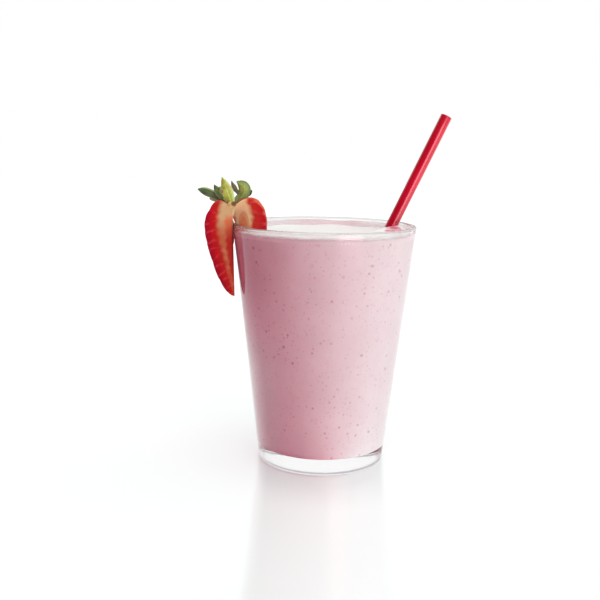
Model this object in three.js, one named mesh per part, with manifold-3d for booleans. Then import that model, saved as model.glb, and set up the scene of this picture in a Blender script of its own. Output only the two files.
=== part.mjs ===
// Strawberry milkshake in a tumbler, with a drinking straw and half a strawberry on the rim.
// Millimetres, Z up. The origin is the centre of the tumbler's flat underside.
import * as THREE from 'three';
import { mergeVertices } from 'three/addons/utils/BufferGeometryUtils.js';
import Module from 'manifold-3d';

const wasm = await Module();
wasm.setup();

// Tumbler: a plain cone with a rounded lip and a thick floor
const GLASS_HEIGHT = 118.4;
const RIM_RADIUS = 45;
const BASE_RADIUS = 31.25;
const HEEL_RADIUS = 1.8;
const WALL_AT_RIM = 2.4;
const WALL_AT_FLOOR = 2.7;
const FLOOR_THICKNESS = 8;
const FLOOR_CORNER = 3.2;
const AROUND = 72;

// Space left between pieces that touch, and round the wall where it enters the strawberry
const CLEARANCE = 0.3;
const WALL_ROOM = 0.35;

// Drink: filled to a little under the lip, with froth heaped behind the straw
const DRINK_LEVEL = 113.6;
const HEAP_X = 35.5;
const HEAP_Y = 15;
const HEAP_HEIGHT = 3.1;
const HEAP_REACH = 8.5;

// Straw: a plain straight tube that leans on the rim at the back right
const STRAW_RADIUS = 2.9;
const STRAW_WALL = 0.45;
const STRAW_AT_RIM = new THREE.Vector3(34.5, 15.4, 117);
const STRAW_LEAN = new THREE.Vector3(0.482, 0.12, 1).normalize();
const STRAW_FOOT_HEIGHT = 10.2;
const STRAW_TOP_HEIGHT = 171.6;

// Strawberry half: its cut face looks to the front and its slit sits on the rim
const CUT_FACE_Y = -7;
const BERRY_DEPTH = 0.9;
const BERRY_MIDDLE = new THREE.Vector3(-43.2, CUT_FACE_Y, 108);
const BERRY_REACH = new THREE.Vector3(14.5, 13, 21);
const SEAT = new THREE.Vector2(-45, 126.9);
const TIP = new THREE.Vector2(-41.5, 82.6);
const LEFT_OUTLINE = [
  SEAT,
  new THREE.Vector2(-46.8, 127.8),
  new THREE.Vector2(-49.2, 129),
  new THREE.Vector2(-51.6, 129.5),
  new THREE.Vector2(-53.8, 128.2),
  new THREE.Vector2(-56, 124.8),
  new THREE.Vector2(-57.7, 121.4),
  new THREE.Vector2(-58.2, 117.6),
  new THREE.Vector2(-57.9, 113.4),
  new THREE.Vector2(-56.7, 107.4),
  new THREE.Vector2(-54.4, 99.9),
  new THREE.Vector2(-52, 93.2),
  new THREE.Vector2(-48.8, 87.2),
  new THREE.Vector2(-45.6, 83.7),
  TIP,
];
const RIGHT_OUTLINE = [
  SEAT,
  new THREE.Vector2(-43.2, 127.6),
  new THREE.Vector2(-40.6, 129.5),
  new THREE.Vector2(-37.4, 130.9),
  new THREE.Vector2(-34.6, 131.1),
  new THREE.Vector2(-32, 129.8),
  new THREE.Vector2(-29.6, 126.6),
  new THREE.Vector2(-28.3, 122.6),
  new THREE.Vector2(-27.9, 117.8),
  new THREE.Vector2(-28.1, 111.5),
  new THREE.Vector2(-29.2, 104.6),
  new THREE.Vector2(-31.2, 97.6),
  new THREE.Vector2(-34, 91),
  new THREE.Vector2(-37.4, 86),
  TIP,
];

// The slit: wide enough for the wall, with a thin knife cut above the rim.
// It runs a little aslant, by this much to the side for each step back.
const SLIT_SLANT = 0.077;
const SLIT_OUTLINE = [
  new THREE.Vector2(-43.3, 76),
  new THREE.Vector2(-44.1, 103.7),
  new THREE.Vector2(-44.2, 108.3),
  new THREE.Vector2(-43.7, 110.2),
  new THREE.Vector2(-43.7, 117.2),
  new THREE.Vector2(-44.4, 118.9),
  new THREE.Vector2(-44.7, 120.6),
  new THREE.Vector2(-44.45, 121.3),
  new THREE.Vector2(-43.9, 119.9),
  new THREE.Vector2(-43.1, 118.5),
  new THREE.Vector2(-42.6, 112),
  new THREE.Vector2(-38.6, 76),
];

// Calyx: a hub in the strawberry's hollow, and leaves that spread from it.
// Each leaf has its start, bend and end, half its width, the way it spreads and where it is widest.
const HUB = new THREE.Vector3(-44.9, CUT_FACE_Y, 127.7);
const HUB_SIZE = new THREE.Vector3(2.1, 3.2, 1.6);
const LEAF_THICKNESS = 0.75;
const LEAVES = [
  [[-46.4, -5.4, 128.2], [-55.3, -4.1, 133.4], [-61.5, -5.6, 134.8], 2.05, [0.25, 0.4, 1], 0.66],
  [[-46.2, -5, 128.3], [-51.2, -5.7, 132.6], [-53.7, -4.6, 136.9], 1.85, [1, 0.2, 0.45], 0.58],
  [[-44.6, -6.1, 127.5], [-47.1, -6.1, 133], [-49.8, -5.4, 140.6], 2.6, [1, -0.1, 0.3], 0.54],
  [[-40.9, -3.6, 131.3], [-44.2, -2.4, 135.1], [-45.6, -2, 138.6], 1.1, [1, 0.9, 0.6], 0.55],
  [[-43.4, -5, 128.3], [-35.3, -0.5, 135], [-42.9, -3.6, 138.3], 2.95, [1, 0.2, 0.25], 0.6],
  [[-46.6, -4.6, 128.2], [-54.1, -3.9, 129.8], [-56, -4.2, 130.3], 1, [0.1, 0.6, 1], 0.55],
  [[-43.4, -5.8, 127.6], [-43, -5.3, 130.9], [-40.2, -4.4, 132.8], 1.25, [0.5, 0.3, -0.7], 0.5],
  [[-46.4, -5.4, 128.2], [-49.6, -5.9, 131.9], [-50.9, -5, 136.4], 1.2, [1, 0.2, 0.3], 0.55],
  [[-40.8, -3.4, 130.1], [-36.9, -1.4, 131.8], [-35.5, -1.8, 134.5], 0.9, [-0.6, 0.5, 0.8], 0.6],
];

// Radius of the tumbler's outside and inside at a height
function outsideRadius(z) {
  return BASE_RADIUS + (RIM_RADIUS - BASE_RADIUS) * z / GLASS_HEIGHT;
}

function insideRadius(z) {
  const share = (z - FLOOR_THICKNESS) / (GLASS_HEIGHT - FLOOR_THICKNESS);
  return outsideRadius(z) - THREE.MathUtils.lerp(WALL_AT_FLOOR, WALL_AT_RIM, share);
}

// Points along an arc of a profile, from one angle to another, in degrees
function arc(centreX, centreY, radius, fromDegrees, toDegrees, steps) {
  const points = [];
  for (let i = 0; i <= steps; i += 1) {
    const angle = THREE.MathUtils.degToRad(THREE.MathUtils.lerp(fromDegrees, toDegrees, i / steps));
    points.push(new THREE.Vector2(centreX + radius * Math.cos(angle), centreY + radius * Math.sin(angle)));
  }
  return points;
}

// Turns a profile of radius and height round the Z axis
function turned(profile, segments) {
  const geometry = new THREE.LatheGeometry(profile, segments);
  geometry.rotateX(Math.PI / 2);
  return geometry;
}

// Makes a solid from a closed mesh, with its faces looking outward
function toSolid(geometry) {
  const bare = geometry.clone();
  bare.deleteAttribute('normal');
  bare.deleteAttribute('uv');
  const merged = mergeVertices(bare, 1e-4);
  const place = merged.attributes.position;
  const index = merged.index.array;
  const a = new THREE.Vector3();
  const b = new THREE.Vector3();
  const c = new THREE.Vector3();
  const kept = [];
  let volume = 0;
  for (let i = 0; i < index.length; i += 3) {
    const p = index[i];
    const q = index[i + 1];
    const r = index[i + 2];
    if (p !== q && q !== r && r !== p) {
      kept.push(p, q, r);
      a.fromBufferAttribute(place, p);
      b.fromBufferAttribute(place, q);
      c.fromBufferAttribute(place, r);
      volume += a.dot(b.cross(c));
    }
  }
  if (volume < 0) {
    kept.reverse();
  }
  return new wasm.Manifold(new wasm.Mesh({
    numProp: 3,
    vertProperties: new Float32Array(place.array),
    triVerts: new Uint32Array(kept),
  }));
}

// Makes a named mesh from a solid
function toMesh(name, solid, look) {
  const data = solid.getMesh();
  const geometry = new THREE.BufferGeometry();
  geometry.setAttribute('position', new THREE.BufferAttribute(new Float32Array(data.vertProperties), 3));
  geometry.setIndex(new THREE.BufferAttribute(new Uint32Array(data.triVerts), 1));
  geometry.computeVertexNormals();
  const material = new THREE.MeshStandardMaterial(look);
  material.name = name;
  const mesh = new THREE.Mesh(geometry, material);
  mesh.name = name;
  return mesh;
}

// Keeps the largest piece of a solid
function largest(solid) {
  const pieces = solid.decompose();
  pieces.sort((first, second) => second.volume() - first.volume());
  return pieces[0];
}

// Tumbler
function tumblerProfile() {
  const lipRadius = WALL_AT_RIM / 2;
  const lipHeight = GLASS_HEIGHT - lipRadius;
  const lipCentre = outsideRadius(lipHeight) - lipRadius;
  const cornerHeight = FLOOR_THICKNESS + FLOOR_CORNER;
  const cornerCentre = insideRadius(cornerHeight) - FLOOR_CORNER;
  return [
    new THREE.Vector2(0, 0),
    ...arc(outsideRadius(HEEL_RADIUS) - HEEL_RADIUS, HEEL_RADIUS, HEEL_RADIUS, -90, 0, 4),
    new THREE.Vector2(outsideRadius(40), 40),
    new THREE.Vector2(outsideRadius(80), 80),
    ...arc(lipCentre, lipHeight, lipRadius, 0, 180, 8),
    new THREE.Vector2(insideRadius(80), 80),
    new THREE.Vector2(insideRadius(40), 40),
    ...arc(cornerCentre, cornerHeight, FLOOR_CORNER, 0, -90, 4),
    new THREE.Vector2(0, FLOOR_THICKNESS),
  ];
}

// The tumbler's wall made a little thicker, to cut room for it
function wallWithRoom(room) {
  const lipRadius = WALL_AT_RIM / 2;
  const lipHeight = GLASS_HEIGHT - lipRadius;
  const lipCentre = outsideRadius(lipHeight) - lipRadius;
  const start = new THREE.Vector2(insideRadius(60) - room, 60);
  return toSolid(turned([
    start,
    new THREE.Vector2(outsideRadius(60) + room, 60),
    ...arc(lipCentre, lipHeight, lipRadius + room, 0, 180, 10),
    start,
  ], 120));
}

// Height of the drink's uneven top
function drinkTop(x, y) {
  const radius = Math.hypot(x, y);
  const angle = Math.atan2(y, x);
  const toHeap = Math.hypot(x - HEAP_X, y - HEAP_Y) / HEAP_REACH;
  const heap = HEAP_HEIGHT * Math.exp(-toHeap * toHeap);
  const nearWall = THREE.MathUtils.smoothstep(radius, 33, 41.5);
  const behind = 0.55 + 0.45 * Math.sin(angle);
  const climb = nearWall * behind * (0.45 + 0.5 * Math.sin(angle * 5 + 0.6) ** 2);
  const swell = 0.09 * Math.sin(x * 0.31 + 1.2) * Math.cos(y * 0.27 - 0.5);
  const ripple = 0.05 * Math.sin(x * 0.7 - y * 0.5);
  return DRINK_LEVEL + heap + climb + (swell + ripple) * (1 - 0.5 * nearWall);
}

function drinkSolid(berryRoom) {
  const gap = CLEARANCE;
  const bottom = FLOOR_THICKNESS + gap;
  const cornerHeight = FLOOR_THICKNESS + FLOOR_CORNER;
  const cornerCentre = insideRadius(cornerHeight) - FLOOR_CORNER;
  const topRadius = insideRadius(DRINK_LEVEL) - gap;
  const rings = [1, 0.95, 0.88, 0.78, 0.66, 0.52, 0.36, 0.18, 0];
  const profile = [
    new THREE.Vector2(0, bottom),
    ...arc(cornerCentre, cornerHeight, FLOOR_CORNER - gap, -90, 0, 4),
    new THREE.Vector2(insideRadius(60) - gap, 60),
    ...rings.map((share) => new THREE.Vector2(topRadius * share, DRINK_LEVEL)),
  ];
  const geometry = turned(profile, AROUND);
  const place = geometry.attributes.position;
  for (let i = 0; i < place.count; i += 1) {
    if (Math.abs(place.getZ(i) - DRINK_LEVEL) < 1e-3) {
      place.setZ(i, drinkTop(place.getX(i), place.getY(i)));
    }
  }
  return toSolid(geometry).subtract(strawSolid(STRAW_RADIUS + gap, 0, 4)).subtract(berryRoom);
}

// Straw, or the plain rod that cuts room for it
function strawSolid(radius, bore, extra) {
  const lowest = (STRAW_FOOT_HEIGHT - STRAW_AT_RIM.z) / STRAW_LEAN.z - (bore ? 0 : 0.6);
  const highest = (STRAW_TOP_HEIGHT - STRAW_AT_RIM.z) / STRAW_LEAN.z + extra;
  const start = new THREE.Vector2(bore, lowest);
  const profile = [start, new THREE.Vector2(radius, lowest), new THREE.Vector2(radius, highest)];
  if (bore) {
    profile.push(new THREE.Vector2(bore, highest), start);
  } else {
    profile.push(new THREE.Vector2(0, highest));
  }
  const geometry = turned(profile, 32);
  const upright = new THREE.Vector3(0, 0, 1);
  geometry.applyQuaternion(new THREE.Quaternion().setFromUnitVectors(upright, STRAW_LEAN));
  geometry.translate(STRAW_AT_RIM.x, STRAW_AT_RIM.y, STRAW_AT_RIM.z);
  return toSolid(geometry);
}

// The whole strawberry's skin, grown by a margin, before it is halved and slit
function berryBody(margin) {
  const rows = 30;
  const left = new THREE.SplineCurve(LEFT_OUTLINE);
  const right = new THREE.SplineCurve(RIGHT_OUTLINE);
  const upright = [];
  for (let j = 0; j <= rows; j += 1) {
    upright.push(new THREE.Vector2(j === 0 || j === rows ? 0 : 1, rows - j));
  }
  const geometry = new THREE.LatheGeometry(upright, 40);
  const place = geometry.attributes.position;
  for (let i = 0; i < place.count; i += 1) {
    const j = Math.round(rows - place.getY(i));
    const angle = Math.atan2(place.getX(i), place.getZ(i));
    const l = left.getPoint(j / rows);
    const r = right.getPoint(j / rows);
    const side = Math.cos(angle);
    const halfWidth = (r.x - l.x) / 2;
    const spread = j === 0 || j === rows ? 0 : 1;
    const skin = new THREE.Vector3(
      (l.x + r.x) / 2 + spread * halfWidth * side,
      CUT_FACE_Y + spread * BERRY_DEPTH * halfWidth * Math.sin(angle),
      (l.y + r.y) / 2 + spread * (r.y - l.y) / 2 * side,
    );
    const outward = skin.clone().sub(BERRY_MIDDLE).divide(BERRY_REACH);
    skin.addScaledVector(outward, margin);
    place.setXYZ(i, skin.x, skin.y, skin.z);
  }
  return toSolid(geometry);
}

function boxSolid(x0, x1, y0, y1, z0, z1) {
  const geometry = new THREE.BoxGeometry(x1 - x0, y1 - y0, z1 - z0);
  geometry.translate((x0 + x1) / 2, (y0 + y1) / 2, (z0 + z1) / 2);
  return toSolid(geometry);
}

// The room that the slit takes, right through the strawberry from front to back
function slitSolid() {
  const outline = new THREE.Shape(SLIT_OUTLINE);
  const geometry = new THREE.ExtrudeGeometry(outline, { depth: 40, bevelEnabled: false });
  geometry.rotateX(Math.PI / 2);
  geometry.translate(0, 20, 0);
  geometry.applyMatrix4(new THREE.Matrix4().makeShear(0, 0, -SLIT_SLANT, 0, 0, 0));
  geometry.translate(SLIT_SLANT * CUT_FACE_Y, 0, 0);
  return toSolid(geometry);
}

// The calyx's hub, in which all leaves meet
function hubSolid(margin) {
  const geometry = new THREE.SphereGeometry(1, 20, 12);
  geometry.scale(HUB_SIZE.x + margin, HUB_SIZE.y + margin, HUB_SIZE.z + margin);
  geometry.translate(HUB.x, HUB.y, HUB.z);
  return toSolid(geometry);
}

// One thin wavy leaf, with both faces split into triangles alike
function leafSolid(leaf, phase) {
  const rows = 9;
  const columns = 4;
  const [start, bend, end, half, across, widest] = leaf;
  const path = new THREE.QuadraticBezierCurve3(
    new THREE.Vector3(...start),
    new THREE.Vector3(...bend),
    new THREE.Vector3(...end),
  );
  const spread = new THREE.Vector3(...across).normalize();
  const lean = Math.log(0.5) / Math.log(widest);
  const sheet = new THREE.PlaneGeometry(2, 1, columns, rows);
  const place = sheet.attributes.position;
  const faces = [];
  const points = [];
  for (let layer = 0; layer < 2; layer += 1) {
    for (let i = 0; i < place.count; i += 1) {
      const u = place.getX(i);
      const s = place.getY(i) + 0.5;
      const along = path.getTangent(s);
      const side = spread.clone().addScaledVector(along, -spread.dot(along)).normalize();
      const out = new THREE.Vector3().crossVectors(along, side);
      const belly = Math.sin(Math.PI * THREE.MathUtils.clamp(s, 0.02, 0.985) ** lean) ** 0.8;
      const width = half * (0.34 * (1 - s) ** 2 + belly);
      const wave = 0.28 * Math.sin(s * 7 + phase + u * 1.3) + 0.5 * (u * u - 0.4) * half / 3;
      const thick = LEAF_THICKNESS * (1 - 0.35 * u * u) * (layer - 0.5);
      const at = path.getPoint(s);
      at.addScaledVector(side, width * u);
      at.addScaledVector(out, wave + thick);
      points.push(at.x, at.y, at.z);
    }
  }
  const sheetIndex = sheet.index.array;
  const count = place.count;
  for (let i = 0; i < sheetIndex.length; i += 3) {
    const a = sheetIndex[i];
    const b = sheetIndex[i + 1];
    const c = sheetIndex[i + 2];
    faces.push(a, b, c, a + count, c + count, b + count);
  }
  const border = [];
  for (let i = 0; i <= columns; i += 1) {
    border.push(i);
  }
  for (let j = 1; j <= rows; j += 1) {
    border.push(j * (columns + 1) + columns);
  }
  for (let i = columns - 1; i >= 0; i -= 1) {
    border.push(rows * (columns + 1) + i);
  }
  for (let j = rows - 1; j >= 1; j -= 1) {
    border.push(j * (columns + 1));
  }
  border.forEach((a, i) => {
    const b = border[(i + 1) % border.length];
    faces.push(a, b, b + count, a, b + count, a + count);
  });
  const geometry = new THREE.BufferGeometry();
  geometry.setAttribute('position', new THREE.BufferAttribute(new Float32Array(points), 3));
  geometry.setIndex(faces);
  return toSolid(geometry);
}

// Everything put together
const behindCut = boxSolid(-80, 0, CUT_FACE_Y, 60, 60, 160);
const roomBehindCut = boxSolid(-80, 0, CUT_FACE_Y - CLEARANCE, 60, 60, 160);
const glass = toSolid(turned(tumblerProfile(), AROUND));
const berryRoom = berryBody(CLEARANCE + 0.1).intersect(roomBehindCut);
const berryHalf = berryBody(0).intersect(behindCut);
const strawberry = largest(
  berryHalf.subtract(slitSolid()).subtract(wallWithRoom(WALL_ROOM)).subtract(hubSolid(CLEARANCE)),
);
let calyx = hubSolid(0).intersect(behindCut);
LEAVES.forEach((leaf, i) => {
  calyx = calyx.add(leafSolid(leaf, i * 1.7));
});
calyx = largest(calyx.subtract(berryBody(CLEARANCE + 0.1).subtract(hubSolid(CLEARANCE / 2))));
const milkshake = largest(drinkSolid(berryRoom));
const straw = strawSolid(STRAW_RADIUS, STRAW_RADIUS - STRAW_WALL, 0);

const clearGlass = { color: 0xe9f0f0, roughness: 0.04, metalness: 0, transparent: true, opacity: 0.35 };
const group = new THREE.Group();
group.name = 'strawberry_milkshake';
group.add(toMesh('glass', glass, clearGlass));
group.add(toMesh('milkshake', milkshake, { color: 0xe7bcc4, roughness: 0.35, metalness: 0 }));
group.add(toMesh('straw', straw, { color: 0xc0021f, roughness: 0.25, metalness: 0 }));
group.add(toMesh('strawberry', strawberry, { color: 0xb5161c, roughness: 0.35, metalness: 0 }));
group.add(toMesh('calyx', calyx, { color: 0x6f8f35, roughness: 0.55, metalness: 0 }));

export default group;
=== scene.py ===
import math

import bmesh
import bpy
import numpy as np
from mathutils import Matrix, Vector


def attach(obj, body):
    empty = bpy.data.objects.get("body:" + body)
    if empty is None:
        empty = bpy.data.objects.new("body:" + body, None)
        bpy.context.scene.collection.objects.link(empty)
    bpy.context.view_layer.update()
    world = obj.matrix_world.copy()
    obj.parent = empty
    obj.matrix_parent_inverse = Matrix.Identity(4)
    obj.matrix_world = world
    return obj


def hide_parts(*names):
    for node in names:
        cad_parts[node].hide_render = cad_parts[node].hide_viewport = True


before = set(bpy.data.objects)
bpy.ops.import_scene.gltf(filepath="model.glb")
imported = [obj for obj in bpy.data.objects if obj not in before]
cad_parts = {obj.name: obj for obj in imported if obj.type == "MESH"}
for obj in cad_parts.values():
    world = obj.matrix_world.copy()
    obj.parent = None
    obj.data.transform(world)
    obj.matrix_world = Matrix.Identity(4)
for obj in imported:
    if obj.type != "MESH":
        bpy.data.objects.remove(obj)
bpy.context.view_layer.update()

MM = 0.001
SHARP_ANGLE = 42
TINY = 1e-6

# Tumbler, in millimetres
GLASS_HEIGHT = 118.4
RIM_RADIUS = 45.0
BASE_RADIUS = 31.25
HEEL_RADIUS = 1.8
WALL_AT_RIM = 2.4
WALL_AT_FLOOR = 2.7
FLOOR_THICKNESS = 8.0
FLOOR_CORNER = 3.2
LIP_RADIUS = WALL_AT_RIM / 2
LIP_HEIGHT = GLASS_HEIGHT - LIP_RADIUS
GLASS_AROUND = 144
WALL_BANDS = 9
OUTSIDE_FROM, INSIDE_FROM, WALL_TO = 12, 16, 108

# Drink, and the film of it left on the wall
DRINK_LEVEL = 113.6
HEAP_X, HEAP_Y = 35.5, 15.0
HEAP_HEIGHT, HEAP_REACH = 3.1, 8.5
INTO_WALL = 0.1
DRINK_AROUND, DRINK_RINGS, DRINK_BANDS = 160, 64, 25
DRINK_WALL_TO = 112
FILM_AROUND, FILM_BANDS = 144, 8
FILM_EDGE_HEIGHT = 117.1
FILM_THICKNESS = 0.12
FILM_BELOW_TOP, FILM_LEAST_HEIGHT = 0.6, 0.9
NEAR_WALL_RADIUS = 40
CLIMB_FROM, CLIMB_TO = 33, 41.5

# Straw
STRAW_RADIUS = 2.9
STRAW_WALL = 0.45
STRAW_EDGE = 0.16
STRAW_AROUND, STRAW_BANDS = 48, 14
STRAW_AT_RIM = np.array([34.5, 15.4, 117.0])
STRAW_LEAN = np.array([0.482, 0.12, 1.0]) / np.linalg.norm([0.482, 0.12, 1.0])
STRAW_FOOT_HEIGHT, STRAW_TOP_HEIGHT = 10.2, 171.6

# Strawberry half: the outlines of its cut face, left and right, from the calyx to the tip
CUT_FACE_Y = -7.0
BERRY_DEPTH = 0.9
BERRY_ROWS, BERRY_ARCS = 150, 110
BERRY_MIDDLE = np.array([-43.2, CUT_FACE_Y, 108.0])
DENT_WIDTH, DENT_DEPTH = 0.95, 0.5
SEAT = (-45.0, 126.9)
TIP = (-41.5, 82.6)
LEFT_OUTLINE = np.array([
    SEAT, (-46.8, 127.8), (-49.2, 129), (-51.6, 129.5), (-53.8, 128.2), (-56, 124.8),
    (-57.7, 121.4), (-58.2, 117.6), (-57.9, 113.4), (-56.7, 107.4), (-54.4, 99.9),
    (-52, 93.2), (-48.8, 87.2), (-45.6, 83.7), TIP,
])
RIGHT_OUTLINE = np.array([
    SEAT, (-43.2, 127.6), (-40.6, 129.5), (-37.4, 130.9), (-34.6, 131.1), (-32, 129.8),
    (-29.6, 126.6), (-28.3, 122.6), (-27.9, 117.8), (-28.1, 111.5), (-29.2, 104.6),
    (-31.2, 97.6), (-34, 91), (-37.4, 86), TIP,
])

# The slit from below, up its left side and down its right, and the room for the tumbler's wall
SLIT_SLANT = 0.077
SLIT_OUTLINE = [
    (-43.3, 76), (-44.1, 103.7), (-44.2, 108.3), (-43.7, 110.2), (-43.7, 117.2), (-44.4, 118.9),
    (-44.7, 120.6), (-44.45, 121.3), (-43.9, 119.9), (-43.1, 118.5), (-42.6, 112), (-38.6, 76),
]
SLIT_LEFT, SLIT_RIGHT = np.array(SLIT_OUTLINE[:7]), np.array(SLIT_OUTLINE[:7:-1])
SLIT_REACH = 20
WALL_ROOM = 0.35
ROOM_FOOT_HEIGHT, ROOM_AROUND = 60, 180

# Seeds: half length, half width and height, how deep they sit, and the room each needs
SEED_HALF_LENGTH, SEED_HALF_WIDTH, SEED_HEIGHT = 0.72, 0.45, 0.3
SEED_SUNK = 0.28
SEED_REACH = 0.75
SEED_ROWS, SEED_SPACING = 15, 3.3
SEEDS_FROM, SEEDS_TO = 0.3, 0.95
SEED_DRAW = 7
SEED_BANDS, SEED_AROUND = 6, 8
NO_SEEDS_UNDER_SLIT_END, NO_SEEDS_UNDER_WALL = 121.5, 120
WALL_HALF_ROOM = 1.4

# Calyx: the half stub where the leaves meet, and how finely a leaf is divided
HUB = (-44.9, 127.7)
HUB_SIZE = (2.1, 3.2, 1.6)
HUB_BANDS, HUB_TURNS = 12, 14
LEAF_ROWS, LEAF_COLUMNS = 26, 10
LEAF_THICKNESS = 0.55


class Signal:
    """A value or a vector on its way through a material, with the usual arithmetic."""

    def __init__(self, look, socket):
        self.look = look
        self.socket = socket

    def wide(self):
        return self.socket.type in ("VECTOR", "RGBA")

    def joined(self, operation, first, second=None):
        vector = any(isinstance(v, Signal) and v.wide() for v in (first, second))
        kind = "ShaderNodeVectorMath" if vector else "ShaderNodeMath"
        made = self.look.node(kind, {"operation": operation})
        for slot, value in zip(made.inputs, (first, second)):
            if value is not None:
                self.look.feed(slot, value)
        return Signal(self.look, made.outputs[0])

    def __add__(self, other):
        return self.joined("ADD", self, other)

    def __radd__(self, other):
        return self.joined("ADD", other, self)

    def __sub__(self, other):
        return self.joined("SUBTRACT", self, other)

    def __rsub__(self, other):
        return self.joined("SUBTRACT", other, self)

    def __mul__(self, other):
        return self.joined("MULTIPLY", self, other)

    def __rmul__(self, other):
        return self.joined("MULTIPLY", other, self)

    def __truediv__(self, other):
        return self.joined("DIVIDE", self, other)

    def __rtruediv__(self, other):
        return self.joined("DIVIDE", other, self)

    def __pow__(self, other):
        return self.joined("POWER", self, other)

    def sine(self):
        return self.joined("SINE", self)

    def root(self):
        return self.joined("SQRT", self)

    def size(self):
        return self.joined("ABSOLUTE", self)

    def lowest(self, other):
        return self.joined("MINIMUM", self, other)

    def highest(self, other):
        return self.joined("MAXIMUM", self, other)

    def step(self, low, high):
        """Rises smoothly from 0 at low to 1 at high, or falls where low is the larger."""
        up, down = (0.0, 1.0) if low < high else (1.0, 0.0)
        made = self.look.node(
            "ShaderNodeMapRange",
            {"interpolation_type": "SMOOTHSTEP"},
            {0: self, 1: min(low, high), 2: max(low, high), 3: up, 4: down},
        )
        return Signal(self.look, made.outputs[0])

    def parts(self):
        made = self.look.node("ShaderNodeSeparateXYZ", {}, {0: self})
        return [Signal(self.look, out) for out in made.outputs]


class Look:
    """One material, or the world, and the nodes that make it."""

    def __init__(self, name, owner=None):
        self.owner = owner or bpy.data.materials.new(name)
        self.owner.use_nodes = True
        self.tree = self.owner.node_tree
        self.tree.nodes.clear()

    def node(self, kind, settings=None, inputs=None):
        made = self.tree.nodes.new(kind)
        for key, value in (settings or {}).items():
            setattr(made, key, value)
        for key, value in (inputs or {}).items():
            self.feed(made.inputs[key], value)
        return made

    def feed(self, slot, value):
        if isinstance(value, Signal):
            self.tree.links.new(value.socket, slot)
        elif slot.type == "RGBA" and len(value) == 3:
            slot.default_value = (*value, 1.0)
        else:
            slot.default_value = value

    def place(self):
        made = self.node("ShaderNodeTexCoord")
        return Signal(self, made.outputs["Object"])

    def along(self):
        made = self.node("ShaderNodeTexCoord")
        return Signal(self, made.outputs["UV"])

    def noise(self, where, scale, detail=2.0):
        made = self.node(
            "ShaderNodeTexNoise", {}, {"Vector": where, "Scale": scale, "Detail": detail}
        )
        return Signal(self, made.outputs["Fac"])

    def cells(self, where, scale):
        """The distance to the nearest of many scattered points, and that point's own colour."""
        made = self.node("ShaderNodeTexVoronoi", {}, {"Vector": where, "Scale": scale})
        return Signal(self, made.outputs["Distance"]), Signal(self, made.outputs["Color"])

    def blend(self, share, low, high):
        made = self.node("ShaderNodeMix", {"data_type": "RGBA"})
        self.feed(made.inputs[0], share)
        self.feed(made.inputs[6], low)
        self.feed(made.inputs[7], high)
        return Signal(self, made.outputs[2])

    def bumps(self, height, strength, distance):
        made = self.node(
            "ShaderNodeBump", {}, {"Height": height, "Strength": strength, "Distance": distance}
        )
        return Signal(self, made.outputs["Normal"])

    def ray(self, kind):
        """What is known of the light ray that meets the surface."""
        made = self.node("ShaderNodeLightPath")
        return Signal(self, made.outputs[kind])

    def choose(self, share, first, second):
        made = self.node("ShaderNodeMixShader", {}, {0: share})
        self.tree.links.new(first.outputs[0], made.inputs[1])
        self.tree.links.new(second.outputs[0], made.inputs[2])
        return made

    def ended(self, shader, kind="ShaderNodeOutputMaterial"):
        end = self.node(kind)
        self.tree.links.new(shader.outputs[0], end.inputs["Surface"])
        return self.owner

    def surface(self, inputs):
        return self.ended(self.node("ShaderNodeBsdfPrincipled", {}, inputs))


# Forms shared by several pieces
def outside_radius(z):
    return BASE_RADIUS + (RIM_RADIUS - BASE_RADIUS) * z / GLASS_HEIGHT


def inside_radius(z):
    share = (z - FLOOR_THICKNESS) / (GLASS_HEIGHT - FLOOR_THICKNESS)
    return outside_radius(z) - (WALL_AT_FLOOR + (WALL_AT_RIM - WALL_AT_FLOOR) * share)


def smooth(value, low, high):
    share = np.clip((value - low) / (high - low), 0, 1)
    return share * share * (3 - 2 * share)


def drink_top(x, y):
    """Height of the drink's uneven top."""
    radius = np.hypot(x, y)
    angle = np.arctan2(y, x)
    heap = HEAP_HEIGHT * np.exp(-((x - HEAP_X) ** 2 + (y - HEAP_Y) ** 2) / HEAP_REACH**2)
    near_wall = smooth(radius, CLIMB_FROM, CLIMB_TO)
    behind = 0.55 + 0.45 * np.sin(angle)
    climb = near_wall * behind * (0.45 + 0.5 * np.sin(angle * 5 + 0.6) ** 2)
    froth = 0.06 * np.sin(x * 0.31 + 1.2) * np.cos(y * 0.27 - 0.5)
    froth += 0.02 * np.sin(x * 0.7 - y * 0.5) * np.cos(x * 0.19 + y * 0.43)
    return DRINK_LEVEL + heap + climb + froth * (1 - 0.5 * near_wall)


def arc(centre_x, centre_y, radius, start, end, steps):
    angles = np.radians(np.linspace(start, end, steps + 1))
    return [(centre_x + radius * math.cos(a), centre_y + radius * math.sin(a)) for a in angles]


def spline(points, share):
    """A smooth line through points, at a share of its way."""
    place = (len(points) - 1) * share
    i = np.minimum(place.astype(int), len(points) - 2)
    t = (place - i)[:, None]
    before, here = points[np.maximum(i - 1, 0)], points[i]
    there, after = points[i + 1], points[np.minimum(i + 2, len(points) - 1)]
    leaving, arriving = (there - before) / 2, (after - here) / 2
    return (
        (2 * here - 2 * there + leaving + arriving) * t**3
        + (3 * there - 3 * here - 2 * leaving - arriving) * t**2
        + leaving * t
        + here
    )


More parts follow.
